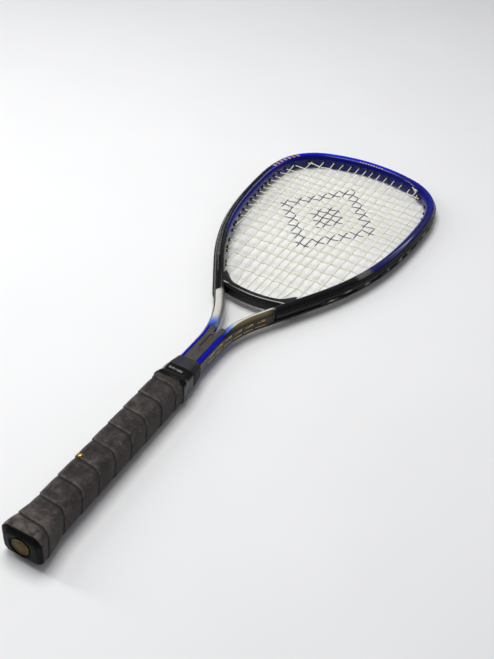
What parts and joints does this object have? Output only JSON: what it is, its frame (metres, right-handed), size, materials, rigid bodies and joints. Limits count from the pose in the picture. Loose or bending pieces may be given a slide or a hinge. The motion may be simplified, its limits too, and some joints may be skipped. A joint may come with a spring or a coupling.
{
  "type": "squash racket",
  "caption": "Open-throat squash racket: wide hollow hoop strung with mains and crosses, bridge, two shafts and a ribbon-wrapped octagonal handle with flared butt.",
  "frame": {"origin": "centre of the flat butt end", "axes": "+Y along the racket from the butt to the tip, +X across the string bed, +Z normal to the string bed"},
  "size_m": [0.215, 0.686, 0.0318],
  "materials": {
    "frame_paint": "gloss clear coat over blue, fading through silver to black",
    "bridge_black": "gloss",
    "grommet_nylon": "satin moulded nylon, scuffed",
    "bridge_nylon": "satin moulded nylon",
    "string": "waxy multifilament with stencil ink",
    "throat_plate": "satin",
    "pallet_foam": "matt moulded foam",
    "cap_plastic": "satin",
    "emblem_gold": "satin gold",
    "base_grip": "matt",
    "overgrip": "worn suede-like felt",
    "finishing_tape": "gloss tape with silver flecks",
    "collar_rubber": "satin",
    "tack_brass": "polished",
    "pin_steel": "plain"
  },
  "bodies": {
    "root": {"frame": "frame_paint", "throat_bridge": "bridge_black", "bridge_grommet_strip": "bridge_nylon", "bridge_cover": "grommet_nylon", "head_bumper": "grommet_nylon", "side_strip_left": "grommet_nylon", "side_strip_right": "grommet_nylon", "main_string": "string", "cross_string": "string", "throat_plate_front": "throat_plate", "throat_plate_back": "throat_plate", "handle_pallet_front": "pallet_foam", "handle_pallet_back": "pallet_foam", "butt_cap": "cap_plastic", "butt_emblem": "emblem_gold", "butt_pin_front": "pin_steel", "butt_pin_back": "pin_steel", "base_grip": "base_grip", "overgrip": "overgrip", "finishing_tape": "finishing_tape", "collar": "collar_rubber", "grip_tack": "tack_brass"}
  },
  "joints": []
}
